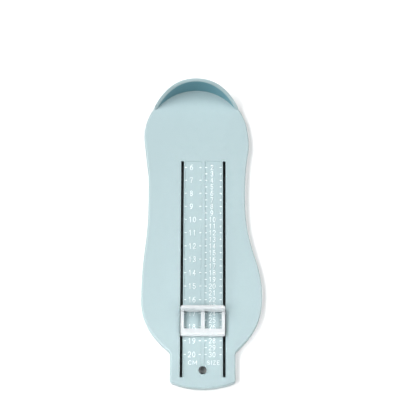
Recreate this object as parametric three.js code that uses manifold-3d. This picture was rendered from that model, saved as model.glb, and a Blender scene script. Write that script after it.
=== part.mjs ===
// Foot measuring gauge for small children's feet: a foot-shaped tray with an upright heel wall,
// a scale between two long slots, and a white stop that slides along the slots to the toes.
// Millimetres. X runs across the foot, Y points to the heel, Z is up from the table.
// Distances called "from zero" run from the inner face of the heel wall towards the toes.
import * as THREE from "three";
import { mergeVertices } from "three/addons/utils/BufferGeometryUtils.js";
import Module from "manifold-3d";

const wasm = await Module();
wasm.setup();

// Tray
const deckTop = 7.0; // upper face of the deck above the table
const deckThickness = 2.0;
const skirtWall = 1.8; // rim that carries the deck all round
const edgeRound = 1.2; // rounding of the deck's outer edge

// Heel wall
const heelRadius = 36.0; // inner face
const heelShiftX = -5.5; // the heel sits left of the scale
const heelWall = 2.2;
const wallHeight = 21.5; // above the deck
const rampStart = 15.4; // where the falling rim meets the deck, from zero
const rampSlope = 1.3; // rise of the rim for each millimetre towards the heel
const crestBlend = 5.0; // softness of the change from ramp to level rim
const rimRound = 0.7;

// Outline of the two sides. Each side leaves the heel arc, narrows to the waist, widens to the
// ball of the foot and turns in to the shoulder of the tab. Pulls are the lengths of the handles
// of the curves, and both angles are in degrees from the X axis.
const outerSide = {
  heelAngle: -6.4,
  heelPull: 31.5,
  waistX: 40.0,
  waistY: 87.2,
  waistPullHeel: 23.9,
  waistPullToe: 35.1,
  ballX: 44.3,
  ballY: 160.7,
  ballPullHeel: 39.5,
  ballPullToe: 17.1,
  shoulderAngle: 32.9,
  shoulderPull: 14.1,
};
const archSide = {
  heelAngle: 8.5,
  heelPull: 24.6,
  waistX: 30.5,
  waistY: 85.9,
  waistPullHeel: 44.7,
  waistPullToe: 36.0,
  ballX: 42.6,
  ballY: 157.1,
  ballPullHeel: 26.6,
  ballPullToe: 24.6,
  shoulderAngle: 51.1,
  shoulderPull: 19.5,
};

// Tab at the toe end, with the hanging hole
const tabWidth = 46.5;
const tabStart = 199.6; // from zero
const tabEnd = 224.4; // from zero, on the centre line
const tabEndRadius = 62.0;
const tabCorner = 2.5;
const holeDiameter = 5.8;
const holeFromZero = 211.3;
const holeRingWidth = 0.8; // flat ring left round the hole

// Slots and scale
const slotSpacing = 30.6; // centre to centre
const slotWidth = 1.9;
const slotStart = 55.3; // from zero
const slotEnd = 216.4; // from zero
const lipWidth = 0.85; // level lip between a sunk column and its slot
const scaleWidth = slotSpacing - slotWidth - 2 * lipWidth; // over both sunk columns
const scaleBar = 2.7; // level bar between the columns
const scaleDepth = 0.5;
const scaleFirst = 60.0; // first mark, from zero
const scaleLast = 200.0;
const lengthStep = 10.0; // column in centimetres
const sizeStep = 5.0; // column in shoe sizes
const tickLength = 1.6;
const tickWidth = 0.7;

// Ribs under the deck
const ribThickness = 1.4;
const ribDepth = 3.0;
const guideFromSlot = 4.4; // deep guide rib outside each slot, centre to centre
const runnerFromSlot = 3.5; // low runner inside each slot, centre to centre
const runnerDepth = 1.0;
const heelRibFromZero = 24.0;
const crossRibFromZero = 50.0;
const sideRibFirst = 80.0;
const sideRibPitch = 27.0;
const sideRibCount = 5;

// Slider
const reading = 166.6; // heel-side face of the stop, from zero
const stopHeight = 10.8;
const stopThickness = 2.5;
const stopCorner = 2.0; // plan corners on the heel side
const stopTopRound = 0.6;
const stopFillet = 0.8;
const frameHeight = 3.2;
const frameLength = 20.5;
const windowLength = 13.0;
const frameRail = 2.4; // frame beside each window
const toeRound = 2.2;
const toeCorner = 1.0;
const runGap = 0.25; // between sliding faces

// Legs of the slider through the slots, and the keeper below
const legGap = 0.35; // each side in the slot
const legInset = 1.0; // behind the face of the stop
const legSpan = 15.2; // over the front and rear legs
const legLength = 4.5;
const hookReach = 0.6;
const hookHeight = 0.9;
const keeperThickness = 1.5;
const keeperMargin = 1.2; // beyond the legs, each end
const keeperSideGap = 0.4; // to the guide ribs
const keeperCorner = 1.5;
const fitGap = 0.2; // between a leg and the keeper

// The slider is as wide as its legs stand apart
const legThickness = slotWidth - 2 * legGap;
const sliderWidth = slotSpacing + legThickness;

// Fineness of the curves
const heelSteps = 44;
const sideSteps = 12;
const roundSteps = 4;

// Solids and booleans

function solid(geometry) {
  const bare = geometry.index ? geometry.toNonIndexed() : geometry.clone();
  bare.deleteAttribute("normal");
  bare.deleteAttribute("uv");
  const merged = mergeVertices(bare, 1e-4);
  return new wasm.Manifold(
    new wasm.Mesh({
      numProp: 3,
      vertProperties: merged.attributes.position.array,
      triVerts: new Uint32Array(merged.index.array),
    }),
  );
}

function join(solids) {
  return solids.reduce((sum, next) => sum.add(next));
}

function meshOf(name, body, material) {
  const { vertProperties, triVerts } = body.getMesh();
  const geometry = new THREE.BufferGeometry();
  geometry.setAttribute("position", new THREE.BufferAttribute(vertProperties, 3));
  geometry.setIndex(new THREE.BufferAttribute(triVerts, 1));
  const flat = geometry.toNonIndexed();
  flat.computeVertexNormals();
  const mesh = new THREE.Mesh(flat, material);
  mesh.name = name;
  return mesh;
}

// A box between two corners.
function box(x0, x1, y0, y1, z0, z1) {
  const geometry = new THREE.BoxGeometry(x1 - x0, y1 - y0, z1 - z0);
  geometry.translate((x0 + x1) / 2, (y0 + y1) / 2, (z0 + z1) / 2);
  return solid(geometry);
}

// A plan shape raised from z0 to z1.
function raise(shape, z0, z1) {
  const geometry = new THREE.ExtrudeGeometry(shape, {
    depth: z1 - z0,
    bevelEnabled: false,
    curveSegments: roundSteps,
  });
  geometry.translate(0, 0, z0);
  return solid(geometry);
}

function disc(diameter, y, z0, z1) {
  const geometry = new THREE.CylinderGeometry(diameter / 2, diameter / 2, z1 - z0, 40);
  geometry.rotateX(Math.PI / 2);
  geometry.translate(0, y, (z0 + z1) / 2);
  return solid(geometry);
}

// A solid skinned over rings of equally many points, closed at both ends. Each ring runs
// anticlockwise as seen from the last one.
function loft(rings) {
  const count = rings[0].length;
  const corners = rings.flat().flatMap((p) => [p.x, p.y, p.z]);
  const faces = [];
  for (let i = 0; i + 1 < rings.length; i++) {
    for (let j = 0; j < count; j++) {
      const a = i * count + j;
      const b = i * count + ((j + 1) % count);
      faces.push(a, b, b + count, a, b + count, a + count);
    }
  }
  const last = (rings.length - 1) * count;
  for (let j = 1; j + 1 < count; j++) {
    faces.push(0, j + 1, j);
    faces.push(last, last + j, last + j + 1);
  }
  const geometry = new THREE.BufferGeometry();
  geometry.setAttribute("position", new THREE.Float32BufferAttribute(corners, 3));
  geometry.setIndex(faces);
  return solid(geometry);
}

// Foot outline

const radians = (degrees) => THREE.MathUtils.degToRad(degrees);
const heelCentre = new THREE.Vector2(heelShiftX, -heelRadius);
const outerRadius = heelRadius + heelWall;

// Angles of the outline's points on the heel, from the arch side over the heel to the outer side.
function heelAngles() {
  const first = archSide.heelAngle;
  const sweep = 180 - outerSide.heelAngle - first;
  return Array.from({ length: heelSteps + 1 }, (_, i) => radians(first + (sweep * i) / heelSteps));
}

function onHeel(radius, angle) {
  return new THREE.Vector2(
    heelCentre.x + radius * Math.cos(angle),
    heelCentre.y + radius * Math.sin(angle),
  );
}

// One side from the heel arc to the shoulder of the tab; sign is +1 for the arch side.
function sidePoints(side, sign) {
  const at = (x, fromZero) => new THREE.Vector2(sign * x, -fromZero);
  const turn = radians(side.heelAngle);
  const angle = sign > 0 ? turn : Math.PI - turn;
  const start = onHeel(outerRadius, angle);
  const waist = at(side.waistX, side.waistY);
  const ball = at(side.ballX, side.ballY);
  const shoulder = at(tabWidth / 2, tabStart);
  const lean = radians(side.shoulderAngle);
  const heelHandle = new THREE.Vector2(sign * Math.sin(turn), -Math.cos(turn));
  const shoulderHandle = new THREE.Vector2(sign * Math.cos(lean), Math.sin(lean));
  const curves = [
    new THREE.CubicBezierCurve(
      start,
      start.clone().addScaledVector(heelHandle, side.heelPull),
      at(side.waistX, side.waistY - side.waistPullHeel),
      waist,
    ),
    new THREE.CubicBezierCurve(
      waist,
      at(side.waistX, side.waistY + side.waistPullToe),
      at(side.ballX, side.ballY - side.ballPullHeel),
      ball,
    ),
    new THREE.CubicBezierCurve(
      ball,
      at(side.ballX, side.ballY + side.ballPullToe),
      shoulder.clone().addScaledVector(shoulderHandle, side.shoulderPull),
      shoulder,
    ),
  ];
  return curves.flatMap((curve) => curve.getPoints(sideSteps).slice(1));
}

// Half of the tab's end, from its corner on the +X side to the centre line.
function tabCornerAndEnd() {
  const half = tabWidth / 2;
  const centreY = -tabEnd + tabEndRadius;
  const reach = tabEndRadius - tabCorner;
  const cornerX = half - tabCorner;
  const cornerY = centreY - Math.sqrt(reach ** 2 - cornerX ** 2);
  const meet = Math.atan2(cornerY - centreY, cornerX);
  const corner = new THREE.ArcCurve(cornerX, cornerY, tabCorner, 0, meet, true);
  const end = new THREE.ArcCurve(0, centreY, tabEndRadius, meet, -Math.PI / 2, true);
  return [...corner.getPoints(roundSteps), ...end.getPoints(roundSteps).slice(1)];
}

// Anticlockwise: heel, outer side, tab, arch side.
function footOutline() {
  const heel = heelAngles().map((angle) => onHeel(outerRadius, angle));
  const tabRight = tabCornerAndEnd();
  const tabLeft = tabRight.map((p) => new THREE.Vector2(-p.x, p.y));
  return [
    ...heel,
    ...sidePoints(outerSide, -1),
    ...tabLeft,
    ...tabRight.slice(0, -1).reverse(),
    ...sidePoints(archSide, 1).reverse(),
  ];
}

// The outline moved inwards by a distance, without points that fall together.
function inset(points, distance) {
  const count = points.length;
  const moved = points.map((point, i) => {
    const before = point.clone().sub(points[(i + count - 1) % count]).normalize();
    const after = points[(i + 1) % count].clone().sub(point).normalize();
    const normal = new THREE.Vector2(-before.y - after.y, before.x + after.x).normalize();
    const stretch = normal.x * -before.y + normal.y * before.x;
    return point.clone().addScaledVector(normal, distance / stretch);
  });
  return moved.filter((p, i) => p.distanceTo(moved[(i + 1) % count]) > 0.15);
}

// Tray

// Height of the heel wall's rim: the lower of the ramp and the crest, blended where they meet.
function rimTop(y) {
  const ramp = rampSlope * (y + rampStart);
  const near = Math.max(crestBlend - Math.abs(ramp - wallHeight), 0) / crestBlend;
  return deckTop + Math.min(ramp, wallHeight) - (near ** 2 * crestBlend) / 4;
}

// One upright section of the heel wall: straight faces and a rim rounded on both edges.
function wallSection(angle) {
  const foot = deckTop - 0.75 * deckThickness;
  const edge = [];
  for (let i = 0; i <= roundSteps; i++) {
    const t = ((i / roundSteps) * Math.PI) / 2;
    edge.push({ side: rimRound * (1 - Math.cos(t)), drop: rimRound * (1 - Math.sin(t)) });
  }
  const rim = [
    ...edge.map((e) => ({ radius: outerRadius - e.side, drop: e.drop })),
    ...edge.reverse().map((e) => ({ radius: heelRadius + e.side, drop: e.drop })),
  ];
  const upper = rim.map(({ radius, drop }) => {
    const p = onHeel(radius, angle);
    const z = Math.max(rimTop(p.y) - drop, foot + 0.1 * (rimRound - drop) + 0.1);
    return new THREE.Vector3(p.x, p.y, z);
  });
  const lower = [heelRadius, outerRadius].map((radius) => {
    const p = onHeel(radius, angle);
    return new THREE.Vector3(p.x, p.y, foot);
  });
  return [...lower, ...upper];
}

function heelWallSolid() {
  const behind = -rampStart - (2 * edgeRound) / rampSlope;
  const angles = heelAngles().filter((angle) => onHeel(outerRadius, angle).y > behind);
  return loft(angles.reverse().map(wallSection));
}

// The full block of the tray, rounded along the upper edge.
function trayBlock(outline) {
  const below = 3 * edgeRound;
  const geometry = new THREE.ExtrudeGeometry(new THREE.Shape(outline), {
    depth: deckTop - edgeRound + below,
    bevelEnabled: true,
    bevelThickness: edgeRound,
    bevelSize: edgeRound,
    bevelOffset: -edgeRound,
    bevelSegments: roundSteps,
  });
  geometry.translate(0, 0, -below);
  const reach = tabEnd + outerRadius;
  return solid(geometry).subtract(box(-reach, reach, -reach, reach, -3 * below, 0));
}

// Ribs of the underside, cut to the outline by the tray's own block.
function ribs(block) {
  const under = deckTop - deckThickness;
  const into = under + deckThickness / 4;
  const half = ribThickness / 2;
  const reach = tabEnd + outerRadius;
  const across = (fromZero, x0, x1) =>
    box(x0, x1, -fromZero - half, -fromZero + half, under - ribDepth, into);
  const pieces = [across(heelRibFromZero, -reach, reach), across(crossRibFromZero, -reach, reach)];
  for (const sign of [-1, 1]) {
    const guide = sign * (slotSpacing / 2 + guideFromSlot);
    const runner = sign * (slotSpacing / 2 - runnerFromSlot);
    const heelEnd = -crossRibFromZero;
    pieces.push(box(guide - half, guide + half, -reach, heelEnd, under - ribDepth, into));
    pieces.push(box(runner - half, runner + half, -reach, heelEnd, under - runnerDepth, into));
    for (let i = 0; i < sideRibCount; i++) {
      const outside = sign * reach;
      const [x0, x1] = [guide, outside].sort((a, b) => a - b);
      pieces.push(across(sideRibFirst + i * sideRibPitch, x0, x1));
    }
  }
  return join(pieces).intersect(block);
}

// One column of ticks against each edge of a sunk column of the scale.
function ticks(inner, outer, step) {
  const pieces = [];
  const half = tickWidth / 2;
  const [z0, z1] = [deckTop - 2 * scaleDepth, deckTop];
  const sign = Math.sign(outer);
  for (let at = scaleFirst; at <= scaleLast + 0.01; at += step) {
    for (const edge of [inner, outer - sign * tickLength]) {
      const [x0, x1] = [edge, edge + sign * tickLength].sort((a, b) => a - b);
      pieces.push(box(x0, x1, -at - half, -at + half, z0, z1));
    }
  }
  return pieces;
}

// What is taken out of the deck to leave the level bar, the ticks and the ring round the hole.
function scaleRecess() {
  const inner = scaleBar / 2;
  const outer = scaleWidth / 2;
  const [z0, z1] = [deckTop - scaleDepth, deckTop + scaleDepth];
  const columns = [
    box(-outer, -inner, -slotEnd, -slotStart, z0, z1),
    box(inner, outer, -slotEnd, -slotStart, z0, z1),
  ];
  const kept = [
    ...ticks(-inner, -outer, lengthStep),
    ...ticks(inner, outer, sizeStep),
    disc(holeDiameter + 2 * holeRingWidth, -holeFromZero, deckTop - 2 * scaleDepth, deckTop),
  ];
  return join(columns).subtract(join(kept));
}

function traySolid() {
  const outline = footOutline();
  const block = trayBlock(outline);
  const under = deckTop - deckThickness;
  const hollow = raise(new THREE.Shape(inset(outline, skirtWall)), -deckTop, under);
  const slots = [-1, 1].map((sign) => {
    const x = (sign * slotSpacing) / 2;
    return box(x - slotWidth / 2, x + slotWidth / 2, -slotEnd, -slotStart, 0, 2 * deckTop);
  });
  const hole = disc(holeDiameter, -holeFromZero, 0, 2 * deckTop);
  return block
    .subtract(hollow)
    .add(ribs(block))
    .add(heelWallSolid())
    .subtract(join([...slots, hole]))
    .subtract(scaleRecess());
}

// Slider, drawn with the face of its stop at Y = 0

// Side view of the slider: the upright stop, a small fillet, and the low frame with a round toe edge.
function sliderSideView() {
  const shape = new THREE.Shape();
  shape.moveTo(0, 0);
  shape.lineTo(frameLength, 0);
  shape.lineTo(frameLength, frameHeight - toeRound);
  shape.absarc(frameLength - toeRound, frameHeight - toeRound, toeRound, 0, Math.PI / 2);
  shape.lineTo(stopThickness + stopFillet, frameHeight);
  const filletX = stopThickness + stopFillet;
  const filletY = frameHeight + stopFillet;
  shape.absarc(filletX, filletY, stopFillet, -Math.PI / 2, -Math.PI, true);
  const crown = stopHeight - stopTopRound;
  shape.absarc(stopThickness - stopTopRound, crown, stopTopRound, 0, Math.PI / 2);
  shape.absarc(stopTopRound, crown, stopTopRound, Math.PI / 2, Math.PI);
  shape.closePath();
  return shape;
}

// Plan view of the slider, with wider corners beside the stop.
function sliderPlan() {
  const half = sliderWidth / 2;
  const shape = new THREE.Shape();
  shape.absarc(half - stopCorner, -stopCorner, stopCorner, 0, Math.PI / 2);
  shape.absarc(stopCorner - half, -stopCorner, stopCorner, Math.PI / 2, Math.PI);
  shape.absarc(toeCorner - half, toeCorner - frameLength, toeCorner, Math.PI, 1.5 * Math.PI);
  shape.absarc(half - toeCorner, toeCorner - frameLength, toeCorner, -Math.PI / 2, 0);
  shape.closePath();
  return shape;
}

// Heights of the sliding stack, from the deck's upper face down to the hooks.
const frameBottom = deckTop + runGap;
const keeperTop = deckTop - deckThickness - runnerDepth - runGap;
const keeperBottom = keeperTop - keeperThickness;
const hookTop = keeperBottom - fitGap;
const legOuter = sliderWidth / 2;

// Front and rear positions of the legs, as pairs of Y limits.
const legPlaces = [
  [-legInset - legLength, -legInset],
  [-legInset - legSpan, -legInset - legSpan + legLength],
];

// A leg that ends in a snap hook pointing away from the scale.
function leg(sign, [y0, y1]) {
  const inner = legOuter - legThickness;
  const shape = new THREE.Shape();
  shape.moveTo(inner, frameBottom + frameHeight / 4);
  shape.lineTo(inner, hookTop - hookHeight);
  shape.lineTo(legOuter - legThickness / 2, hookTop - hookHeight);
  shape.lineTo(legOuter + hookReach, hookTop - hookHeight / 3);
  shape.lineTo(legOuter + hookReach, hookTop);
  shape.lineTo(legOuter, hookTop);
  shape.lineTo(legOuter, frameBottom + frameHeight / 4);
  const geometry = new THREE.ExtrudeGeometry(shape, { depth: y1 - y0, bevelEnabled: false });
  geometry.rotateX(Math.PI / 2);
  geometry.translate(0, y1, 0);
  if (sign < 0) {
    geometry.rotateZ(Math.PI);
    geometry.translate(0, y0 + y1, 0);
  }
  return solid(geometry);
}

function sliderFrameSolid() {
  const side = new THREE.ExtrudeGeometry(sliderSideView(), {
    depth: sliderWidth,
    bevelEnabled: false,
    curveSegments: 2 * roundSteps,
  });
  const toX = new THREE.Vector3(-1, 0, 0);
  const toToe = new THREE.Vector3(0, -1, 0);
  const up = new THREE.Vector3(0, 0, 1);
  side.applyMatrix4(new THREE.Matrix4().makeBasis(toToe, up, toX));
  side.translate(sliderWidth / 2, 0, frameBottom);
  const plan = raise(sliderPlan(), 0, 2 * stopHeight + deckTop);
  const windowOuter = sliderWidth / 2 - frameRail;
  const windowTop = -stopThickness;
  const windows = [-1, 1].map((sign) => {
    const [x0, x1] = [(sign * scaleBar) / 2, sign * windowOuter].sort((a, b) => a - b);
    return box(x0, x1, windowTop - windowLength, windowTop, 0, frameBottom + stopHeight);
  });
  const legs = [-1, 1].flatMap((sign) => legPlaces.map((place) => leg(sign, place)));
  return solid(side).intersect(plan).subtract(join(windows)).add(join(legs));
}

// Plate under the scale, with a mortise for each leg.
function keeperSolid() {
  const half = slotSpacing / 2 + guideFromSlot - ribThickness / 2 - keeperSideGap;
  const y1 = -legInset + keeperMargin;
  const y0 = -legInset - legSpan - keeperMargin;
  const r = keeperCorner;
  const shape = new THREE.Shape();
  shape.absarc(half - r, y1 - r, r, 0, Math.PI / 2);
  shape.absarc(r - half, y1 - r, r, Math.PI / 2, Math.PI);
  shape.absarc(r - half, y0 + r, r, Math.PI, 1.5 * Math.PI);
  shape.absarc(half - r, y0 + r, r, -Math.PI / 2, 0);
  shape.closePath();
  const mortiseOuter = legOuter + fitGap;
  const mortises = [-1, 1].flatMap((sign) =>
    legPlaces.map(([legToe, legHeel]) => {
      const edges = [sign * mortiseOuter, sign * (mortiseOuter - slotWidth)];
      const [x0, x1] = edges.sort((a, b) => a - b);
      return box(x0, x1, legToe - fitGap, legHeel + fitGap, 0, deckTop);
    }),
  );
  return raise(shape, keeperBottom, keeperTop).subtract(join(mortises));
}

// Assembly

const trayPlastic = new THREE.MeshStandardMaterial({
  color: 0xc4dce0,
  roughness: 0.38,
  metalness: 0,
});
const sliderPlastic = new THREE.MeshStandardMaterial({
  color: 0xf5f6f6,
  roughness: 0.28,
  metalness: 0,
});
const keeperPlastic = new THREE.MeshStandardMaterial({
  color: 0xf0f1f1,
  roughness: 0.42,
  metalness: 0,
});

const slider = new THREE.Group();
slider.add(meshOf("slider_frame", sliderFrameSolid(), sliderPlastic));
slider.add(meshOf("slider_keeper", keeperSolid(), keeperPlastic));
slider.position.y = -reading;

const gauge = new THREE.Group();
gauge.add(meshOf("gauge_body", traySolid(), trayPlastic));
gauge.add(slider);

// The origin is the middle of the gauge's footprint, at table height.
const middle = new THREE.Box3().setFromObject(gauge).getCenter(new THREE.Vector3());
gauge.position.set(-middle.x, -middle.y, 0);

const group = new THREE.Group();
group.add(gauge);
export default group;
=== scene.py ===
# %% [markdown]
# # A foot measuring gauge for small children
#
# The gauge is a foot-shaped plastic tray with an upright heel wall, a scale between two long
# slots, and a white stop that slides down to the toes. It is seen from above, a little from the
# toe end, on a white table. Every size below is in millimetres from the zero of the scale, which
# is the inner face of the heel wall: X runs across the foot, Y is negative towards the toes, and
# Z is up from the table. One function turns those sizes into Blender's metres.

# %% Load the frame and find the scale's zero in it
import math
import bpy
import numpy as np
from mathutils import Matrix, Vector
from mathutils.geometry import tessellate_polygon


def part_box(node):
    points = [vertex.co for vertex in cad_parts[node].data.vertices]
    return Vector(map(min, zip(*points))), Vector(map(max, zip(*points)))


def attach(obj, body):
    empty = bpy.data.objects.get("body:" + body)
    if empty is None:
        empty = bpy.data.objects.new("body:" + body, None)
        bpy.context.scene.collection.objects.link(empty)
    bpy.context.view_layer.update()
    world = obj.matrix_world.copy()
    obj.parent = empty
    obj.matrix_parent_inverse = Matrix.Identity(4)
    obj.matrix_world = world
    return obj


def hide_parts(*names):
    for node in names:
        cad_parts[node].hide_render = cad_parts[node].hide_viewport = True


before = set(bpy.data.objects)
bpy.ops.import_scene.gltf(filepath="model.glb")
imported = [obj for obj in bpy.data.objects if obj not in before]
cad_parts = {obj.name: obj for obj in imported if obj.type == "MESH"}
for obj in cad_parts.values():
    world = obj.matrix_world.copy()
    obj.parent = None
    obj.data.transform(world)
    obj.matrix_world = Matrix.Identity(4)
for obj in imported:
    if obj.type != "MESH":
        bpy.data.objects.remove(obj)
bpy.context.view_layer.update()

MM = 1000  # millimetres in a metre
READING = 166.6  # from the zero of the scale to the heel side of the stop
slider_low, slider_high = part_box("slider_frame")
ORIGIN = np.array([
    MM * (slider_low[0] + slider_high[0]) / 2,
    MM * slider_high[1] + READING,
    0.0,
])


def metres(points):
    """Scale coordinates to Blender's: (point + origin of the scale) / 1000."""
    return (np.asarray(points, dtype=float) + ORIGIN) / MM


print("zero of the scale at", metres((0, 0, 0)))

# %% [markdown]
# ## The camera
#
# The marks of the scale are a ruler in the picture, so the camera could be fitted to them: it
# stands 1.2 m from the middle of the gauge, leans 17 degrees towards the toe end and holds a
# long lens. A camera in Blender looks along its own -Z, so the matrix is written from three
# directions: right, up and backwards.

# %% Place the camera
VIEW_TARGET = (-2.41, -85.25, 7.0)
VIEW_DISTANCE = 1200.0
VIEW_LEAN = math.radians(17.174)
VIEW_ROLL = math.radians(0.253)
LENS, SENSOR_WIDTH = 147.74, 36.0
SEES_AS_FAR_AS = 20.0  # metres

camera = bpy.data.objects.new("camera", bpy.data.cameras.new("camera"))
bpy.context.scene.collection.objects.link(camera)
bpy.context.scene.camera = camera
camera.data.lens = LENS
camera.data.sensor_width = SENSOR_WIDTH
camera.data.clip_end = SEES_AS_FAR_AS

back = Vector((0, -math.sin(VIEW_LEAN), math.cos(VIEW_LEAN)))
level = Vector((1, 0, 0))
upright = back.cross(level)
right = math.cos(VIEW_ROLL) * level + math.sin(VIEW_ROLL) * upright
up = back.cross(right)
place = Vector(metres(VIEW_TARGET)) + back * VIEW_DISTANCE / MM
turn = Matrix((right, up, back)).transposed()
camera.matrix_world = Matrix.Translation(place) @ turn.to_4x4()
print("camera at", [round(v, 4) for v in place])

# %% [markdown]
# ## Plastics
#
# Injection moulded ABS is one colour all through, but its gloss isn't even: the tool's surface
# leaves a very fine grain, and the melt leaves slow, faint changes of shade. A picture could
# show that, but every piece would have to be unwrapped for it, and it would repeat. So each
# material is a Principled shader with two noises on Object coordinates, a wide one for the shade
# and a fine one for the grain, which drives roughness and bump. Coordinates are in metres, so a
# noise of scale 1000 has a grain of about a millimetre. The white of the slider also lets a
# little light soak in and come out again nearby.

# %% Turn a screen colour into linear light


def linear(red, green, blue):
    """sRGB parts from 0 to 255 to linear light: c / 12.92 up to 0.04045, and above that
    (c + 0.055) / 1.055 to the power of 2.4."""
    parts = np.array([red, green, blue]) / 255
    low = parts / 12.92
    high = ((parts + 0.055) / 1.055) ** 2.4
    return (*np.where(parts <= 0.04045, low, high), 1.0)


print("half grey on the screen is", round(linear(128, 128, 128)[0], 3), "in linear light")

# %% Build a plastic from nodes
PLASTIC_IOR = 1.53
SHADE_SCALE, SHADE_DETAIL = 28, 3
GRAIN_SCALE, GRAIN_DETAIL = 2500, 4
GRAIN_HEIGHT = 0.0001  # metres
GLOSS_VARIATION = 0.12


def noise(tree, scale, detail):
    """A noise on Object coordinates, so that its pattern moves with the piece."""
    where = tree.nodes.new("ShaderNodeTexCoord")
    pattern = tree.nodes.new("ShaderNodeTexNoise")
    pattern.inputs["Scale"].default_value = scale
    pattern.inputs["Detail"].default_value = detail
    tree.links.new(where.outputs["Object"], pattern.inputs["Vector"])
    return pattern.outputs["Fac"]


def varied_colour(tree, colour, shade):
    """A mix of the colour times 1 - shade and the colour times 1 + shade, by the slow noise."""
    mix = tree.nodes.new("ShaderNodeMix")
    mix.data_type = "RGBA"
    mix.inputs["A"].default_value = tuple(c * (1 - shade) for c in colour[:3]) + (1.0,)
    mix.inputs["B"].default_value = tuple(min(c * (1 + shade), 1.0) for c in colour[:3]) + (1.0,)
    tree.links.new(noise(tree, SHADE_SCALE, SHADE_DETAIL), mix.inputs["Factor"])
    return mix.outputs["Result"]


def plastic(name, colour, roughness, shade, grain, glow=0.0, reach=0.0):
    """A moulded plastic. Shade is the part by which its colour varies, grain the bump's strength,
    glow the part of the light that soaks in, and reach how far it travels there, in metres."""
    material = bpy.data.materials.new(name)
    material.use_nodes = True
    tree = material.node_tree
    shader = tree.nodes["Principled BSDF"]
    shader.inputs["IOR"].default_value = PLASTIC_IOR
    shader.inputs["Subsurface Weight"].default_value = glow
    shader.inputs["Subsurface Radius"].default_value = (1.0, 1.0, 1.0)
    shader.inputs["Subsurface Scale"].default_value = reach
    tree.links.new(varied_colour(tree, colour, shade), shader.inputs["Base Color"])

    fine = noise(tree, GRAIN_SCALE, GRAIN_DETAIL)
    gloss = tree.nodes.new("ShaderNodeMapRange")
    gloss.inputs["To Min"].default_value = roughness * (1 - GLOSS_VARIATION)
    gloss.inputs["To Max"].default_value = roughness * (1 + GLOSS_VARIATION)
    bump = tree.nodes.new("ShaderNodeBump")
    bump.inputs["Strength"].default_value = grain
    bump.inputs["Distance"].default_value = GRAIN_HEIGHT
    tree.links.new(fine, gloss.inputs["Value"])
    tree.links.new(gloss.outputs["Result"], shader.inputs["Roughness"])
    tree.links.new(fine, bump.inputs["Height"])
    tree.links.new(bump.outputs["Normal"], shader.inputs["Normal"])
    return material


print("patches of shade are about", round(MM / SHADE_SCALE), "mm, grains", MM / GRAIN_SCALE, "mm")

# %% Mix the plastics of the gauge
TRAY_PLASTIC = plastic("aqua_abs", linear(162, 178, 181), 0.36, shade=0.012, grain=0.25)
# The deeper colour of the wall's inside is painted shade: it stands for the little light that
# reaches that face. Its lower roughness is a smoother finish.
WALL_PAINTED_SHADE_PLASTIC = plastic("aqua_abs_smooth_painted_shade", linear(107, 153, 164), 0.3, shade=0.012, grain=0.1)
# The marks are moulded in the tray's own plastic. Their lighter colour is a painted highlight that
# stands for the light caught by the raised ridges.
MARK_HIGHLIGHT_PLASTIC = plastic("aqua_abs_painted_highlight", linear(219, 226, 227), 0.3, shade=0.012, grain=0.1)
SLIDER_PLASTIC = plastic(
    "white_abs", linear(189, 193, 195), 0.45, shade=0.006, grain=0.06, glow=0.3, reach=0.002)
KEEPER_PLASTIC = plastic("white_abs_satin", linear(212, 216, 217), 0.38, shade=0.01, grain=0.25)
print("plastics:", [m.name for m in bpy.data.materials])

# %% [markdown]
# ## Surfaces from arrays
#
# Almost every surface of the tray is a profile carried along a closed path: the rim, the edge of
# a slot, the step down into the scale. What is left is flat, with holes, and a polygon filler
# closes it. Cutting a solid block with other solids would do it too, but leaves sharp edges and
# uneven shading. So two helpers make the tray: one carries a profile, one fills a plane. Both
# hand back corners, normals and faces, and a third helper welds such patches into one mesh. The
# normals are worked out from the surface itself, so a wide flat next to a small rounding stays
# flat in the light.

# %% Measure directions along a path
UP, DOWN = (0, 0, 1), (0, 0, -1)
NO_LENGTH = 1e-12  # stands in for a length of zero, which nothing can be divided by


def unit(vectors):
    """Each vector divided by its length."""
    return vectors / np.maximum(np.linalg.norm(vectors, axis=-1, keepdims=True), NO_LENGTH)


def left_of(ahead):
    """Directions in plan turned a quarter to the left: (x, y) becomes (-y, x)."""
    return np.stack([-ahead[:, 1], ahead[:, 0]], axis=1)


def inward(path):
    """For each corner of a closed path, the step to the left that moves both of its edges by
    one millimetre: the sum of the two unit normals over one plus their dot product."""
    left = left_of(unit(np.roll(path, -1, axis=0) - path))
    before = np.roll(left, 1, axis=0)
    return (left + before) / (1 + np.sum(left * before, axis=1, keepdims=True))


square = np.array([(0, 0), (1, 0), (1, 1), (0, 1)])
print("steps inward from the corners of a square", inward(square).tolist())

# %% Carry a profile along a path


def net(shape, closed_axis):
    """Four-cornered faces between neighbours on a grid that closes on itself along one axis."""
    numbers = np.arange(shape[0] * shape[1]).reshape(shape)
    start = np.take(numbers, [0], axis=closed_axis)
    numbers = np.concatenate([numbers, start], axis=closed_axis)
    corners = numbers[:-1, :-1], numbers[1:, :-1], numbers[1:, 1:], numbers[:-1, 1:]
    return np.stack(corners, axis=-1).reshape(-1, 4)


def carry(path, inset, height, first, last=None):
    """The surface S(i, j) = path(i) + inset(i, j) * inward(i), at height(i, j). Solid matter lies
    left of the path. Normals are the cross product of the differences along i and along j. The
    first line, and the last if it is given, take the normal of the plane that joins them."""
    inset = np.broadcast_to(inset, (len(path), np.shape(inset)[-1]))
    height = np.broadcast_to(height, inset.shape)
    plan = path[:, None, :] + inset[:, :, None] * inward(path)[:, None, :]
    grid = np.concatenate([plan, height[:, :, None]], axis=2)
    along = np.roll(grid, -1, axis=0) - np.roll(grid, 1, axis=0)
    normals = unit(np.cross(along, np.gradient(grid, axis=1)))
    normals[:, 0] = first
    if last is not None:
        normals[:, -1] = last
    return grid, normals, net(grid.shape[:2], 0)


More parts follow.
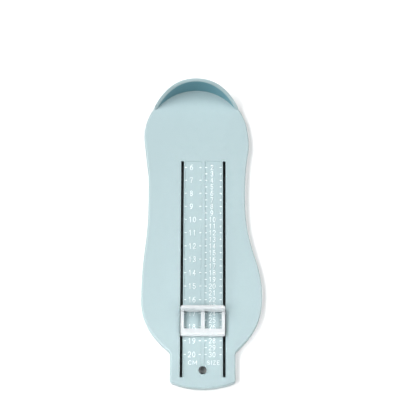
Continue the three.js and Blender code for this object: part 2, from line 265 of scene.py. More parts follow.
def quarter(steps):
    """A quarter circle of radius one in two rows, for t from 0 to 90 degrees: 1 - cos t, which
    grows from 0 to 1, and 1 - sin t, which shrinks from 1 to 0."""
    t = np.radians(np.linspace(0, 90, steps + 1))
    return 1 - np.cos(t), 1 - np.sin(t)


print("a rounding in two steps", [row.round(3).tolist() for row in quarter(2)])

# %% Fill a plane and weld patches
WELD_GRID = 1e4  # steps in a millimetre


def fill(loops, normal):
    """Triangles over a flat outline with holes, turned to face along the normal."""
    corners = np.concatenate(loops)
    triangles = np.array(tessellate_polygon([[Vector(p) for p in loop] for loop in loops]))
    a, b, c = (corners[triangles[:, k]] for k in range(3))
    turned = np.cross(b - a, c - a) @ np.array(normal) < 0
    triangles[turned] = triangles[turned][:, ::-1]
    return corners, np.broadcast_to(normal, corners.shape), triangles


def weld(patches):
    """Joins patches: corners that share a place to a ten-thousandth of a millimetre become one."""
    corners, normals, faces, start = [], [], [], 0
    for grid, normal, face in patches:
        corners.append(np.reshape(grid, (-1, 3)))
        normals.append(np.reshape(normal, (-1, 3)))
        faces.append(face + start)
        start += len(corners[-1])
    corners = np.concatenate(corners)
    normals = np.concatenate(normals)
    key = np.round(corners * WELD_GRID).astype(np.int64)
    _, kept, slot = np.unique(key, axis=0, return_index=True, return_inverse=True)
    slot = slot.ravel()
    return corners[kept], normals[kept], [slot[face] for face in faces]


def sound_faces(block):
    """A block of faces after the weld. A corner equal to the one before it is left out, so a quad
    can become a triangle, and a face with fewer than three different corners is dropped."""
    repeated = block == np.roll(block, 1, axis=1)
    corners = block.shape[1] - repeated.sum(axis=1)
    sound = []
    for size in (3, 4):
        chosen = corners == size
        found = block[chosen][~repeated[chosen]].reshape(-1, size)
        distinct = np.diff(np.sort(found, axis=1), axis=1).all(axis=1)
        sound += found[distinct].tolist()
    return sound


print("a quad with two equal corners becomes", sound_faces(np.array([[0, 1, 1, 2]])))

# %% Make an object of welded patches


def piece(name, patches, material, body):
    """A smooth mesh object, in place in Blender's frame, riding on a body."""
    corners, normals, faces = weld(patches)
    polygons = [face for block in faces for face in sound_faces(block)]
    mesh = bpy.data.meshes.new(name)
    mesh.from_pydata(metres(corners).tolist(), [], polygons)
    mesh.materials.append(material)
    mesh.polygons.foreach_set("use_smooth", np.ones(len(mesh.polygons), dtype=bool))
    mesh.update()
    mesh.normals_split_custom_set_from_vertices(normals.tolist())
    made = bpy.data.objects.new(name, mesh)
    bpy.context.scene.collection.objects.link(made)
    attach(made, body)
    print(name, len(mesh.vertices), "corners", len(mesh.polygons), "faces")
    return made


# %% [markdown]
# ## The foot outline
#
# The heel is an arc. Each side leaves it, narrows to the waist, widens to the ball of the foot
# and turns in to the shoulder of the tab, as three cubic curves with handles. The tab has
# straight sides, round corners and a slightly bowed end. A curve object could draw this, but
# here the points are computed, because every profile of the edge is carried along the same ones.
# The path runs anticlockwise, so the plastic lies left.

# %% Draw curves and arcs


def cubic(p0, p1, p2, p3, steps):
    """Cubic curve: the four points weighted by (1-t)^3, 3t(1-t)^2, 3t^2(1-t) and t^3."""
    t = np.linspace(0, 1, steps + 1)[:, None]
    weights = (1 - t) ** 3, 3 * t * (1 - t) ** 2, 3 * t ** 2 * (1 - t), t ** 3
    return sum(w * np.array(p, dtype=float) for w, p in zip(weights, (p0, p1, p2, p3)))


def arc(centre, radius, angles):
    """Centre + radius * (cos, sin) of each angle."""
    return np.array(centre) + radius * np.stack([np.cos(angles), np.sin(angles)], axis=1)


print("middle of a cubic curve", cubic((0, 0), (0, 4), (4, 4), (4, 0), 2)[1])

# %% Draw the two sides
HEEL_X, HEEL_INSIDE, HEEL_WALL = -5.5, 36.0, 2.2
HEEL_OUTSIDE = HEEL_INSIDE + HEEL_WALL
HEEL_POINTS, SIDE_STEPS = 179, 48
TAB_HALF, TAB_START, TAB_END, TAB_BOW, TAB_CORNER = 23.25, 198.3, 224.4, 62.0, 2.5
OUTER_SIDE = {
    "sign": -1, "heel_angle": -6.4, "heel_pull": 31.5,
    "waist": (40.0, 87.2), "waist_pulls": (23.9, 35.1),
    "ball": (44.3, 161.0), "ball_pulls": (39.5, 16.8),
    "shoulder_lean": 37.6, "shoulder_pull": 12.8,
}
ARCH_SIDE = {
    "sign": 1, "heel_angle": 8.5, "heel_pull": 24.6,
    "waist": (30.5, 85.9), "waist_pulls": (44.7, 36.0),
    "ball": (42.6, 157.2), "ball_pulls": (26.6, 22.1),
    "shoulder_lean": 45.4, "shoulder_pull": 13.5,
}


def side(sign, heel_angle, heel_pull, waist, waist_pulls, ball, ball_pulls,
         shoulder_lean, shoulder_pull):
    """One side from the heel arc to the tab's shoulder, as three cubic curves. The pulls are the
    lengths of the handles. The side leaves the heel arc at an angle over the arc's centre and
    leans in to the shoulder by another, both in degrees."""
    turn, lean = math.radians(heel_angle), math.radians(shoulder_lean)
    angle = turn if sign > 0 else math.pi - turn
    start = arc((HEEL_X, -HEEL_INSIDE), HEEL_OUTSIDE, np.array([angle]))[0]
    leave = start + heel_pull * np.array([sign * math.sin(turn), -math.cos(turn)])
    waist_at = np.array([sign * waist[0], -waist[1]])
    ball_at = np.array([sign * ball[0], -ball[1]])
    shoulder = np.array([sign * TAB_HALF, -TAB_START])
    arrive = shoulder + shoulder_pull * np.array([sign * math.cos(lean), math.sin(lean)])
    before_waist, after_waist = waist_at + (0, waist_pulls[0]), waist_at - (0, waist_pulls[1])
    before_ball, after_ball = ball_at + (0, ball_pulls[0]), ball_at - (0, ball_pulls[1])
    return np.concatenate([
        cubic(start, leave, before_waist, waist_at, SIDE_STEPS)[1:],
        cubic(waist_at, after_waist, before_ball, ball_at, SIDE_STEPS)[1:],
        cubic(ball_at, after_ball, arrive, shoulder, SIDE_STEPS)[1:],
    ])


outer_side, arch_side = side(**OUTER_SIDE), side(**ARCH_SIDE)
print("widest", -outer_side[:, 0].min(), "left and", arch_side[:, 0].max(), "right")

# %% Draw the tab
TAB_SIDE_STEPS, TAB_CORNER_STEPS, TAB_END_STEPS = 25, 10, 30


def tab_half():
    """From the shoulder down the right side, round the corner, to the middle of the bowed end.
    The corner's circle touches the side and, from inside, the larger circle of the end."""
    centre_y = TAB_BOW - TAB_END
    corner_x = TAB_HALF - TAB_CORNER
    corner_y = centre_y - math.sqrt((TAB_BOW - TAB_CORNER) ** 2 - corner_x ** 2)
    meet = math.atan2(corner_y - centre_y, corner_x)
    corner_angles = np.linspace(0, meet, TAB_CORNER_STEPS + 1)
    corner = arc((corner_x, corner_y), TAB_CORNER, corner_angles)
    end = arc((0, centre_y), TAB_BOW, np.linspace(meet, -math.pi / 2, TAB_END_STEPS + 1))
    down = np.linspace(-TAB_START, corner[0, 1], TAB_SIDE_STEPS + 1)[1:-1]
    straight = np.stack([np.full_like(down, TAB_HALF), down], axis=1)
    return np.concatenate([straight, corner, end[1:]])


right_half = tab_half()
print("tab from", -TAB_START, "to", right_half[-1, 1])

# %% Join the outline
SHOULDER_ROUND, SHOULDER_STEPS = 1.3, 8


def soften(path, corner, reach, steps):
    """Rounds one corner of a path: points nearer than reach to it give way to a quadratic curve
    from the last point kept before it to the first one kept after it."""
    near = np.hypot(*(path - corner).T) < reach
    first = np.flatnonzero(near)[0]
    last = np.flatnonzero(near)[-1]
    p0, p2 = path[first - 1], path[last + 1]
    t = np.linspace(0, 1, steps + 1)[1:-1, None]
    curve = (1 - t) ** 2 * p0 + 2 * t * (1 - t) * corner + t ** 2 * p2
    return np.concatenate([path[:first], curve, path[last + 1:]])


def foot_outline():
    """Heel arc, outer side, tab and arch side, anticlockwise from the arch side of the heel."""
    ends = ARCH_SIDE["heel_angle"], 180 - OUTER_SIDE["heel_angle"]
    heel_angles = np.radians(np.linspace(*ends, HEEL_POINTS))
    heel = arc((HEEL_X, -HEEL_INSIDE), HEEL_OUTSIDE, heel_angles)
    left_half = right_half * (-1, 1)
    path = np.concatenate([heel, outer_side, left_half, right_half[::-1][1:], arch_side[::-1]])
    for sign in (-1, 1):
        shoulder = np.array([sign * TAB_HALF, -TAB_START])
        path = soften(path, shoulder, SHOULDER_ROUND, SHOULDER_STEPS)
    return path


OUTLINE = foot_outline()
outline_width, outline_length = np.ptp(OUTLINE, axis=0)
print("outline", len(OUTLINE), "points, width", outline_width, "length", outline_length)

# %% [markdown]
# ## Rim, skirt and heel wall
#
# Seen in section, the tray's edge starts under the deck, goes down the inside of the skirt,
# round its foot, up the outside and over a rounding onto the deck. Round the heel the same
# section climbs on to the top of the wall and comes down inside it. The wall could be a second
# object set on the deck, but the real one is a single moulding without a seam. So one surface
# with two parameters makes both: a place on the outline, and a place on the section. The rim of
# the wall falls off in a ramp, and where it reaches the deck the tall section melts into the
# low one.

# %% Work out the section of the skirt
DECK_TOP, DECK_UNDER, SKIRT = 7.0, 5.0, 1.8
EDGE_ROUND, FOOT_ROUND, INNER_FILLET = 1.2, 0.3, 0.4
FINE_BEND, MEDIUM_BEND, SMALL_BEND, TINY_BEND = 8, 6, 4, 3  # steps in a rounding


def skirt_section():
    """Two rows, inset and height, from the underside of the deck round the skirt's foot to the
    outside. Each bend is a quarter circle, and straight walls lie between them."""
    grow, shrink = quarter(SMALL_BEND)
    fillet = SKIRT + INNER_FILLET * shrink, DECK_UNDER - INNER_FILLET * grow
    inner_foot = SKIRT - FOOT_ROUND * grow, FOOT_ROUND * shrink
    outer_foot = FOOT_ROUND * shrink, FOOT_ROUND * grow
    return np.concatenate([fillet, inner_foot, outer_foot], axis=1)


print("skirt section", skirt_section().shape[1], "points")

# %% Work out the rim of the heel wall
WALL_HEIGHT, RAMP_START, RAMP_SLOPE, CREST_BLEND = 21.5, 15.4, 1.3, 5.0


def rim_above_deck(y):
    """The lower one of ramp r and crest h, less a rounding n^2 b / 4 where they are closer than
    the blend b, with n = 1 - |r - h| / b."""
    ramp = RAMP_SLOPE * (y + RAMP_START)
    near = np.maximum(CREST_BLEND - np.abs(ramp - WALL_HEIGHT), 0) / CREST_BLEND
    return np.minimum(ramp, WALL_HEIGHT) - near ** 2 * CREST_BLEND / 4


print("rim over the deck at the ramp's foot", rim_above_deck(-RAMP_START),
      "and at the back", rim_above_deck(HEEL_WALL))

# %% Work out the section over the skirt
RIM_ROUND, WALL_FILLET = 0.7, 0.5
MELT = 3.0  # the rise of the rim over which the low section becomes the tall one
DECK_MARGIN = 0.1  # how far the low section runs on along the deck


def upper_sections(path):
    """Inset and height of the upper section at every point of the path. The low section is the
    deck's rounding. The tall one is the wall, whose top follows the rim at each point's own Y.
    The two are mixed by the smooth step 3 r^2 - 2 r^3, where r is the rim's height over MELT."""
    grow, shrink = quarter(FINE_BEND)
    fillet_grow, fillet_shrink = quarter(MEDIUM_BEND)
    rounding = RIM_ROUND * grow
    fillet = HEEL_WALL + WALL_FILLET * fillet_grow
    tall_inset = np.concatenate([rounding, HEEL_WALL - rounding[::-1], fillet])
    drops = RIM_ROUND * np.concatenate([shrink, shrink[::-1]])
    over = len(drops)
    y = path[:, None, 1] + tall_inset[None, :] * inward(path)[:, None, 1]
    tall = np.maximum(DECK_TOP + rim_above_deck(y), DECK_TOP)
    tall[:, :over] -= drops
    floor = DECK_TOP + WALL_FILLET * fillet_shrink
    tall[:, over:] = np.minimum(floor, np.maximum(tall[:, over:] - RIM_ROUND, DECK_TOP))

    level_points = tall_inset.size - grow.size
    margin = np.linspace(EDGE_ROUND, EDGE_ROUND + DECK_MARGIN, level_points + 1)[:-1]
    low_inset = np.concatenate([EDGE_ROUND * grow, margin])
    low = DECK_TOP - EDGE_ROUND * np.concatenate([shrink, np.zeros(level_points)])
    rise = np.clip(rim_above_deck(path[:, 1:]) / MELT, 0, 1)
    weight = rise * rise * (3 - 2 * rise)
    return (1 - weight) * low_inset + weight * tall_inset, (1 - weight) * low + weight * tall


print("upper section", upper_sections(OUTLINE)[0].shape[1], "points")

# %% Carry both sections round the foot


def tray_edge():
    """The skirt's section, the same all round, and then the upper section of each point."""
    skirt = skirt_section()
    below = np.broadcast_to(skirt[:, None, :], (2, len(OUTLINE), skirt.shape[1]))
    inset, height = np.concatenate([below, upper_sections(OUTLINE)], axis=2)
    return carry(OUTLINE, inset, height, DOWN, UP)


edge = tray_edge()
print("tray edge", edge[0].shape[:2], "points, highest", edge[0][..., 2].max())

# %% [markdown]
# ## Slots, scale recesses and the hanging hole
#
# A hole is a path that runs clockwise, so the plastic still lies on its left. Each of the two
# sunk columns of the scale is one such path too, but it has a floor. Near the toe end the path
# bends round the flat ring of the hanging hole. The same helper that carries the rim round the
# foot carries the small walls of these cuts, so their edges are rounded as a moulding's are.

# %% Draw the cut-outs in plan
SLOT_X, SLOT_WIDTH, SLOT_START, SLOT_END = 15.3, 1.9, 55.3, 216.4
BAR_HALF, SCALE_HALF, SCALE_DEPTH = 1.35, 13.5, 0.5
HOLE_Y, HOLE_RADIUS, RING_RADIUS = -211.3, 2.9, 3.7
HOLE_POINTS, RING_POINTS = 64, 25
SLOT_CORNER, COLUMN_CORNER = 0.35, 0.25
BLUNT = math.radians(20)


def round_corners(path, radius, steps=4):
    """Every corner that turns by more than BLUNT becomes a quadratic curve that starts and ends
    a radius away from it; a blunt one stays a single point."""
    before = unit(np.roll(path, 1, axis=0) - path)
    ahead = unit(np.roll(path, -1, axis=0) - path)
    t = np.linspace(0, 1, steps + 1)[None, :, None]
    p0 = (path + radius * before)[:, None]
    p2 = (path + radius * ahead)[:, None]
    curves = (1 - t) ** 2 * p0 + 2 * t * (1 - t) * path[:, None] + t ** 2 * p2
    sharp = np.sum(before * ahead, axis=1) > -math.cos(BLUNT)
    curves[~sharp] = path[~sharp][:, None]
    keep = sharp[:, None] | (np.arange(steps + 1) == steps // 2)[None, :]
    return curves[keep]


def slot_path(x):
    """A long rectangle, clockwise."""
    x0, x1 = x - SLOT_WIDTH / 2, x + SLOT_WIDTH / 2
    corners = [(x0, -SLOT_START), (x1, -SLOT_START), (x1, -SLOT_END), (x0, -SLOT_END)]
    return round_corners(np.array(corners), SLOT_CORNER)


def column_path(mirrored):
    """The edge of one sunk column, with the bend round the hanging hole."""
    rise = math.sqrt(RING_RADIUS ** 2 - BAR_HALF ** 2)
    swing = math.asin(rise / RING_RADIUS)
    ring = arc((0, HOLE_Y), RING_RADIUS, np.linspace(-swing, swing, RING_POINTS))
    start = [(BAR_HALF, -SLOT_START), (SCALE_HALF, -SLOT_START)]
    path = np.concatenate([start, [(SCALE_HALF, -SLOT_END), (BAR_HALF, -SLOT_END)], ring])
    if mirrored:
        path = (path * (-1, 1))[::-1]
    return round_corners(path, COLUMN_CORNER)


hole_path = arc((0, HOLE_Y), HOLE_RADIUS, np.linspace(2 * math.pi, 0, HOLE_POINTS + 1)[:-1])
print("a column's edge has", len(column_path(False)), "points, the hole", len(hole_path))

# %% Raise the walls of the cut-outs
SLOT_EDGE, HOLE_EDGE, UNDER_EDGE, STEP_EDGE = 0.25, 0.3, 0.2, 0.1
CUT_BEND = 5


def through_cut(path, top_edge):
    """The wall of a cut through the deck: a quarter circle of UNDER_EDGE, a straight, and one of
    the top edge's radius."""
    grow, shrink = quarter(CUT_BEND)
    inset = np.concatenate([UNDER_EDGE * shrink, top_edge * grow])
    lower, upper = DECK_UNDER + UNDER_EDGE * grow, DECK_TOP - top_edge * shrink
    return carry(path, inset, np.concatenate([lower, upper]), DOWN, UP)


def step_down(path):
    """The low wall between the floor of a column and the deck: a fillet and then a rounding,
    both quarter circles of STEP_EDGE."""
    grow, shrink = quarter(TINY_BEND)
    inset = np.concatenate([-STEP_EDGE * shrink, STEP_EDGE * grow])
    lower, upper = DECK_TOP - SCALE_DEPTH + STEP_EDGE * grow, DECK_TOP - STEP_EDGE * shrink
    return carry(path, inset, np.concatenate([lower, upper]), UP, UP)


slots = [through_cut(slot_path(x), SLOT_EDGE) for x in (-SLOT_X, SLOT_X)]
hole = through_cut(hole_path, HOLE_EDGE)
columns = [step_down(column_path(True)), step_down(column_path(False))]
print("column edges", [len(c[0]) for c in columns], "points")

# %% Close the flats and weld the tray
deck_loops = [surface[0][:, -1] for surface in (edge, *slots, hole, *columns)]
under_loops = [surface[0][:, 0] for surface in (edge, *slots, hole)]
tray_patches = [
    edge, *slots, hole, *columns,
    fill(deck_loops, UP),
    fill(under_loops, DOWN),
    *[fill([column[0][:, 0]], UP) for column in columns],
]
tray = piece("gauge_tray", tray_patches, TRAY_PLASTIC, "tray")
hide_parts("gauge_body")

# %% [markdown]
# ## The inside of the heel wall
#
# The heel rests against this wall. Its inside faces the toe end, where little light comes from,
# so it looks much deeper in colour than the deck. That shade is painted here: the inside gets a
# deeper colour, which is painted shade, and a smoother finish. A separate piece could lie on it,
# but the real wall is part of the tray. So the tray's mesh gets a second material, and the faces
# that take it are found by their place and direction.

# %% Paint shade on the inside of the heel wall, and make it smoother
FACES_MIDDLE = 0.95  # cosine of the angle between a face's normal and the way to the middle


def inside_wall(mesh):
    """True for the faces over the deck that look towards the middle of the heel: their normals
    and their places, both in plan and seen from that middle, point against each other."""
    count = len(mesh.polygons)
    centres, normals = np.empty(3 * count), np.empty(3 * count)
    mesh.polygons.foreach_get("center", centres)
    mesh.polygons.foreach_get("normal", normals)
    out = centres.reshape(-1, 3) - metres((HEEL_X, -HEEL_INSIDE, DECK_TOP))
    facing = np.sum(out[:, :2] * normals.reshape(-1, 3)[:, :2], axis=1)
    return (out[:, 2] > 0) & (facing < -FACES_MIDDLE * np.hypot(out[:, 0], out[:, 1]))


# The second material paints shade on the faces inside the heel wall.
tray.data.materials.append(WALL_PAINTED_SHADE_PLASTIC)
smooth_painted_shade_faces = inside_wall(tray.data)
tray.data.polygons.foreach_set("material_index", smooth_painted_shade_faces.astype(np.int32))
print("smooth faces inside the heel wall", smooth_painted_shade_faces.sum())

# %% [markdown]
# ## Ribs under the deck
#
# A thin deck needs ribs, and the slider's keeper needs something to run along: two deep guide
# ribs beside the slots and two low runners under the scale. Cross ribs tie the guides to the
# skirt. They could share one mesh with the deck, but nobody sees where they join it. So each
# rib is a rounded bar of its own that goes up into the deck and ends inside the skirt.

# %% Shape one rib
RIB, RIB_DEPTH, RUNNER_DEPTH = 1.4, 3.0, 1.0
RIB_EDGE, RIB_CORNER, INTO_DECK = 0.25, 0.3, 0.5


def bar(x0, x1, y0, y1, depth):
    """A bar hanging from the deck: its plan carried down to an edge rounded by a quarter circle,
    and closed at both ends."""
    corners = np.array([(x0, y0), (x1, y0), (x1, y1), (x0, y1)], dtype=float)
    grow, shrink = quarter(TINY_BEND)
    inset = np.append(RIB_EDGE * shrink, 0.0)
    height = np.append(DECK_UNDER - depth + RIB_EDGE * grow, DECK_UNDER + INTO_DECK)
    wall = carry(round_corners(corners, RIB_CORNER), inset, height, DOWN)
    return [wall, fill([wall[0][:, 0]], DOWN), fill([wall[0][:, -1]], UP)]


def rib_across(x0, x1, from_zero):
    """A deep rib across the foot."""
    return bar(x0, x1, -from_zero - RIB / 2, -from_zero + RIB / 2, RIB_DEPTH)


def rib_along(x, toe_end, heel_end, depth):
    """A rib along the foot, centred on X."""
    return bar(x - RIB / 2, x + RIB / 2, toe_end, heel_end, depth)


print("a rib has", sum(len(patch[2]) for patch in rib_across(0, 10, 50)), "faces")

# %% Lay the ribs out
GUIDE_X, RUNNER_X, CROSS_RIB, HEEL_RIB = 19.7, 11.8, 50.0, 24.0
SIDE_RIBS = 80.0 + 27.0 * np.arange(5)
RUNNER_GAP = 1.0
tab_inside = -TAB_END + 0.8 * SKIRT  # within the thickness of the skirt at the tab's end
guide_end = tab_inside + GUIDE_X ** 2 / (2 * TAB_BOW)  # the bow leaves the middle by x^2 / 2r


def skirt_x(y):
    """Where the middle of the skirt's wall crosses a line across the foot: (left, right). Each
    crossed edge of the path gives x0 + (y - y0) / (y1 - y0) * (x1 - x0)."""
    inside = OUTLINE + 0.5 * SKIRT * inward(OUTLINE)
    y0, y1 = inside[:, 1], np.roll(inside[:, 1], -1)
    x0, x1 = inside[:, 0], np.roll(inside[:, 0], -1)
    hit = (y0 - y) * (y1 - y) < 0
    xs = (x0 + (y - y0) / np.where(y1 == y0, 1, y1 - y0) * (x1 - x0))[hit]
    return xs.min(), xs.max()


rib_patches = []
for from_zero in (HEEL_RIB, CROSS_RIB):
    rib_patches += rib_across(*skirt_x(-from_zero), from_zero)
for sign in (-1, 1):
    rib_patches += rib_along(sign * GUIDE_X, guide_end, -CROSS_RIB, RIB_DEPTH)
    rib_patches += rib_along(sign * RUNNER_X, tab_inside + RUNNER_GAP, -CROSS_RIB, RUNNER_DEPTH)
    for from_zero in SIDE_RIBS:
        ends = sorted((sign * GUIDE_X, skirt_x(-from_zero)[(sign + 1) // 2]))
        rib_patches += rib_across(*ends, from_zero)
ribs = piece("gauge_ribs", rib_patches, TRAY_PLASTIC, "tray")

# %% [markdown]
# ## Marks of the scale
#
# Numerals, headings and ticks are ridges that stand on the floors of the columns and end a hair
# above the deck. A ridge is half a tube along a stroke, with round ends and a flat underside, as
# an engraving cutter leaves it in the mould. A text object could write the figures, but its
# letters follow a font and not a cutter's round stroke. Here a character is a few strokes in a
# box one unit wide and one high, made of straight lines and parts of ellipses. The left column
# counts centimetres from 6 to 20, the right one shoe sizes from 2 to 30, two to a centimetre.

# %% Describe the characters as strokes


def line(*corners):
    """Straight strokes from corner to corner, each with its own round ends."""
    return [np.array(pair, dtype=float) for pair in zip(corners[:-1], corners[1:])]


def oval(x, y, rx, ry, start, stop, steps=16):
    """One stroke (x + rx cos t, y + ry sin t) along an ellipse, between two angles in degrees."""
    t = np.radians(np.linspace(start, stop, steps + 1))
    return [np.stack([x + rx * np.cos(t), y + ry * np.sin(t)], axis=1)]


CHARACTERS = {
    "0": oval(0.5, 0.5, 0.5, 0.5, 90, 450),
    "1": line((0.2, 0.8), (0.6, 1), (0.6, 0)),
    "2": oval(0.5, 0.72, 0.5, 0.28, 165, -35) + line((0.91, 0.56), (0, 0), (1, 0)),
    "3": oval(0.5, 0.76, 0.45, 0.24, 160, -90) + oval(0.5, 0.26, 0.5, 0.26, 90, -160),
    "4": line((0.72, 0), (0.72, 1), (0, 0.3), (1, 0.3)),
    "5": line((0.92, 1), (0.14, 1), (0.08, 0.55)) + oval(0.48, 0.32, 0.52, 0.32, 130, -155),
    "6": oval(0.8, 0.32, 0.8, 0.68, 80, 180) + oval(0.5, 0.31, 0.5, 0.31, 180, 540),
    "7": line((0, 1), (1, 1), (0.35, 0)),
    "8": oval(0.5, 0.76, 0.42, 0.24, -90, 270) + oval(0.5, 0.27, 0.5, 0.27, -90, 270),
    "9": oval(0.2, 0.68, 0.8, 0.68, -100, 0) + oval(0.5, 0.69, 0.5, 0.31, 0, 360),
    "C": oval(0.55, 0.5, 0.55, 0.5, 50, 310),
    "M": line((0, 0), (0, 1), (0.5, 0.25), (1, 1), (1, 0)),
    "S": oval(0.5, 0.75, 0.45, 0.25, 25, 270) + oval(0.5, 0.25, 0.5, 0.25, 90, -155),
    "I": line((0, 0), (0, 1)),
    "Z": line((0, 1), (1, 1), (0, 0), (1, 0)),
    "E": line((1, 1), (0, 1), (0, 0), (1, 0)) + line((0, 0.5), (0.8, 0.5)),
}
print("characters", "".join(CHARACTERS))

# %% Raise ridges along the strokes
MARK_FLOOR = DECK_TOP - SCALE_DEPTH
MARK_HEIGHT = SCALE_DEPTH + 0.04  # a hair above the deck
END_ANGLES = np.radians([30, 60, 90])
RIDGE_ANGLES = np.radians(np.linspace(180, 0, 7))


def ridge(stroke, width):
    """Ring i has its centre c(i) on the floor and its points at c(i) + r(i) cos(a) left(i), and
    h(i) sin(a) high. Radius r is half the width and height h the mark's, and both fall to nothing
    at the ends as cos(b), while the centre runs on by sin(b) of half the width."""
    ahead = unit(np.gradient(stroke, axis=0))
    run_on = width / 2 * np.sin(END_ANGLES)[:, None]
    before, after = stroke[0] - ahead[0] * run_on, stroke[-1] + ahead[-1] * run_on
    centre = np.concatenate([before[::-1], stroke, after])
    fall = np.cos(END_ANGLES)
    scale = np.concatenate([fall[::-1], np.ones(len(stroke)), fall])[:, None]
    left = left_of(np.pad(ahead, ((len(fall), len(fall)), (0, 0)), mode="edge"))
    across, upward = np.cos(RIDGE_ANGLES), np.sin(RIDGE_ANGLES)
    plan = centre[:, None] + left[:, None] * (width / 2 * scale * across)[:, :, None]
    height = MARK_FLOOR + MARK_HEIGHT * scale * upward
    grid = np.concatenate([plan, height[:, :, None]], axis=2)
    slant = left[:, None] * across[None, :, None]
    lift = np.broadcast_to(upward[None, :, None], (*slant.shape[:2], 1))
    return grid, np.concatenate([slant, lift], axis=2), net(grid.shape[:2], 1)


def text(label, centre_x, from_zero, size, pitch=0):
    """The strokes of a label, in millimetres: its characters at even steps about a centre."""
    first = centre_x - pitch * (len(label) - 1) / 2
    return [
        stroke * size + (first + k * pitch - size[0] / 2, -from_zero - size[1] / 2)
        for k, character in enumerate(label)
        for stroke in CHARACTERS[character]
    ]


def marks(name, strokes, width):
    """One piece of many ridges on the tray."""
    # The ridges take the lighter material, whose colour is painted highlight.
    made = piece(name, [ridge(stroke, width) for stroke in strokes], MARK_HIGHLIGHT_PLASTIC, "tray")


print("a ridge along one line has", len(ridge(CHARACTERS["I"][0], 1)[2]), "faces")

# %% Write the numbers
# Numbers with one figure and with two have their own centres, and start at nearly one place.
LENGTH_X, LENGTH_SIZE, LENGTH_PITCH = (-8.75, -7.9), (1.75, 3.75), 3.1
SIZE_X, SIZE_SIZE, SIZE_PITCH = (6.3, 6.65), (1.65, 3.5), 2.75
NUMBER_WIDTH = 0.5


def numbers(first, last, place, centres, size, pitch):
    """The strokes of the numbers from first to last, each at the place that its value gives."""
    return [
        stroke
        for n in range(first, last + 1)
        for stroke in text(str(n), centres[len(str(n)) - 1], place(n), size, pitch)
    ]


length_marks = numbers(6, 20, lambda n: 10 * n, LENGTH_X, LENGTH_SIZE, LENGTH_PITCH)
size_marks = numbers(2, 30, lambda n: 5 * n + 50, SIZE_X, SIZE_SIZE, SIZE_PITCH)
marks("length_numerals", length_marks, NUMBER_WIDTH)
marks("size_numerals", size_marks, NUMBER_WIDTH)

# %% Write the headings
HEADING_Y, HEADING_HEIGHT, HEADING_WIDTH = 205.9, 2.75, 0.42
# Each letter's centre across the foot, and the width of its box
HEADING_LETTERS = {
    "C": (-9.1, 2.2), "M": (-5.6, 2.7),
    "S": (4.1, 1.6), "I": (6.2, 0), "Z": (8.3, 1.6), "E": (11.1, 1.5),
}
marks("column_headings", [
    stroke
    for letter, (x, box) in HEADING_LETTERS.items()
    for stroke in text(letter, x, HEADING_Y, (box, HEADING_HEIGHT))
], HEADING_WIDTH)

# %% Set the ticks
TICK_LENGTH, TICK_WIDTH = 1.6, 0.7
FIRST_TICK, LAST_TICK = 60, 200


def ticks(sign, step):
    """A tick at both edges of a column, at every step from the first place to the last."""
    run = TICK_LENGTH - TICK_WIDTH / 2
    return [
        np.array([(sign * x, -y), (sign * (x + run), -y)])
        for y in range(FIRST_TICK, LAST_TICK + 1, step)
        for x in (BAR_HALF, SCALE_HALF - run)
    ]


marks("scale_ticks", ticks(-1, 10) + ticks(1, 5), TICK_WIDTH)

# %% [markdown]
# ## Slider and keeper
#
# The CAD solids of the slider and of the keeper already have the right shape, so they stay. Three
# modifiers finish them: the loose triangles are welded, flat areas become whole faces, and every
# sharp edge gets the small rounding of a real moulding.

# %% Finish the slider and the keeper
WELD_DISTANCE = 2e-6  # metres
FLAT_WITHIN, SHARP_OVER = math.radians(1.0), math.radians(35)
ROUNDING_STEPS = 3
SLIDER_EDGE, KEEPER_EDGE = 0.18, 0.15


def finish_moulding(node, material, width):
    """Weld, dissolve and bevel a CAD node, with normals that keep its flats flat."""
    node.data.materials.clear()
    node.data.materials.append(material)
    weld_ends = node.modifiers.new("weld", "WELD")
    weld_ends.merge_threshold = WELD_DISTANCE
    flats = node.modifiers.new("flats", "DECIMATE")
    flats.decimate_type = "DISSOLVE"
    flats.angle_limit = FLAT_WITHIN
    bevel = node.modifiers.new("edges", "BEVEL")
    bevel.width = width / MM
    bevel.segments = ROUNDING_STEPS
    bevel.limit_method = "ANGLE"
    bevel.angle_limit = SHARP_OVER
    bevel.harden_normals = True
    print(node.name, "edges rounded by", width, "mm")


finish_moulding(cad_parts["slider_frame"], SLIDER_PLASTIC, SLIDER_EDGE)
finish_moulding(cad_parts["slider_keeper"], KEEPER_PLASTIC, KEEPER_EDGE)

# %% [markdown]
# ## Table and light
#
# The photograph is a product shot on a white table. Two long, wide soft panels hang left and
# right of the gauge and run along the foot. Both hang about 35 degrees away from overhead, so
# neither stands straight over the slots, and the floor under them stays dark. The left panel is
# about one and a half times as strong, so the shadow on the right is the deeper one, and their
# width keeps both shadows faint. The heel wall hides the panels' heel ends from the deck before
# it, which gives the soft shadow at its foot. One large light overhead would be simpler, but it
# would fill the slots. A small light with a grid, low at the toe end, reaches the face of the
# stop, and is hidden from the gloss of the plastic. A faint white world stands for the walls of
# the studio.

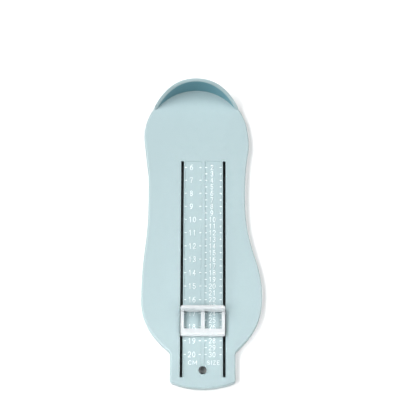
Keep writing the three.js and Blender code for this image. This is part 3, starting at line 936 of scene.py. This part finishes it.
# %% Lay the table
TABLE_HALF, TABLE_DROP, TABLE_WHITE = 3.0, 2e-5, 0.87  # the first two in metres
table_mesh = bpy.data.meshes.new("table")
table_corners = [
    (TABLE_HALF * x, TABLE_HALF * y, -TABLE_DROP)
    for x, y in ((-1, -1), (1, -1), (1, 1), (-1, 1))
]
table_mesh.from_pydata(table_corners, [], [(0, 1, 2, 3)])
table = bpy.data.objects.new("table", table_mesh)
bpy.context.scene.collection.objects.link(table)
table_colour = (TABLE_WHITE, TABLE_WHITE, TABLE_WHITE, 1)
table_mesh.materials.append(plastic("table_white", table_colour, 0.6, shade=0.002, grain=0.0))
print("table", 2 * TABLE_HALF, "m square")

# %% Set the lights


def panel(name, place, target, size, watts, spread=180):
    """An oblong area light at a place, turned to a target, in millimetres and degrees. Its first
    size lies level, which is along the foot for a light on the left or right."""
    light = bpy.data.lights.new(name, "AREA")
    light.shape = "RECTANGLE"
    light.energy = watts
    light.spread = math.radians(spread)
    light.size, light.size_y = (length / MM for length in size)
    lamp = bpy.data.objects.new(name, light)
    bpy.context.scene.collection.objects.link(lamp)
    lamp.visible_camera = False
    start, aim = Vector(metres(place)), Vector(metres(target))
    turn = (aim - start).to_track_quat("-Z", "Y").to_matrix()
    lamp.matrix_world = Matrix.Translation(start) @ turn.to_4x4()
    return lamp


PANEL_SIZE, PANEL_TARGET = (1600, 800), (0, -80, 0)
panel("key_panel", (-780, -110, 1100), PANEL_TARGET, PANEL_SIZE, watts=18.3)
panel("fill_panel", (780, -110, 1100), PANEL_TARGET, PANEL_SIZE, watts=12.0)
toe_light = panel("toe_grid", (-60, -405, 65), (0, -166, 14), (80, 20), watts=0.0055, spread=16)
toe_light.visible_glossy = False

# %% Light the studio's walls and set the picture's contrast
WALL_LIGHT = 0.05
world = bpy.data.worlds.new("studio")
world.use_nodes = True
background = world.node_tree.nodes["Background"]
background.inputs["Color"].default_value = (1, 1, 1, 1)
background.inputs["Strength"].default_value = WALL_LIGHT
bpy.context.scene.world = world
bpy.context.scene.view_settings.view_transform = "Standard"
bpy.context.scene.view_settings.look = "High Contrast"
print("world strength", WALL_LIGHT, "look", bpy.context.scene.view_settings.look)
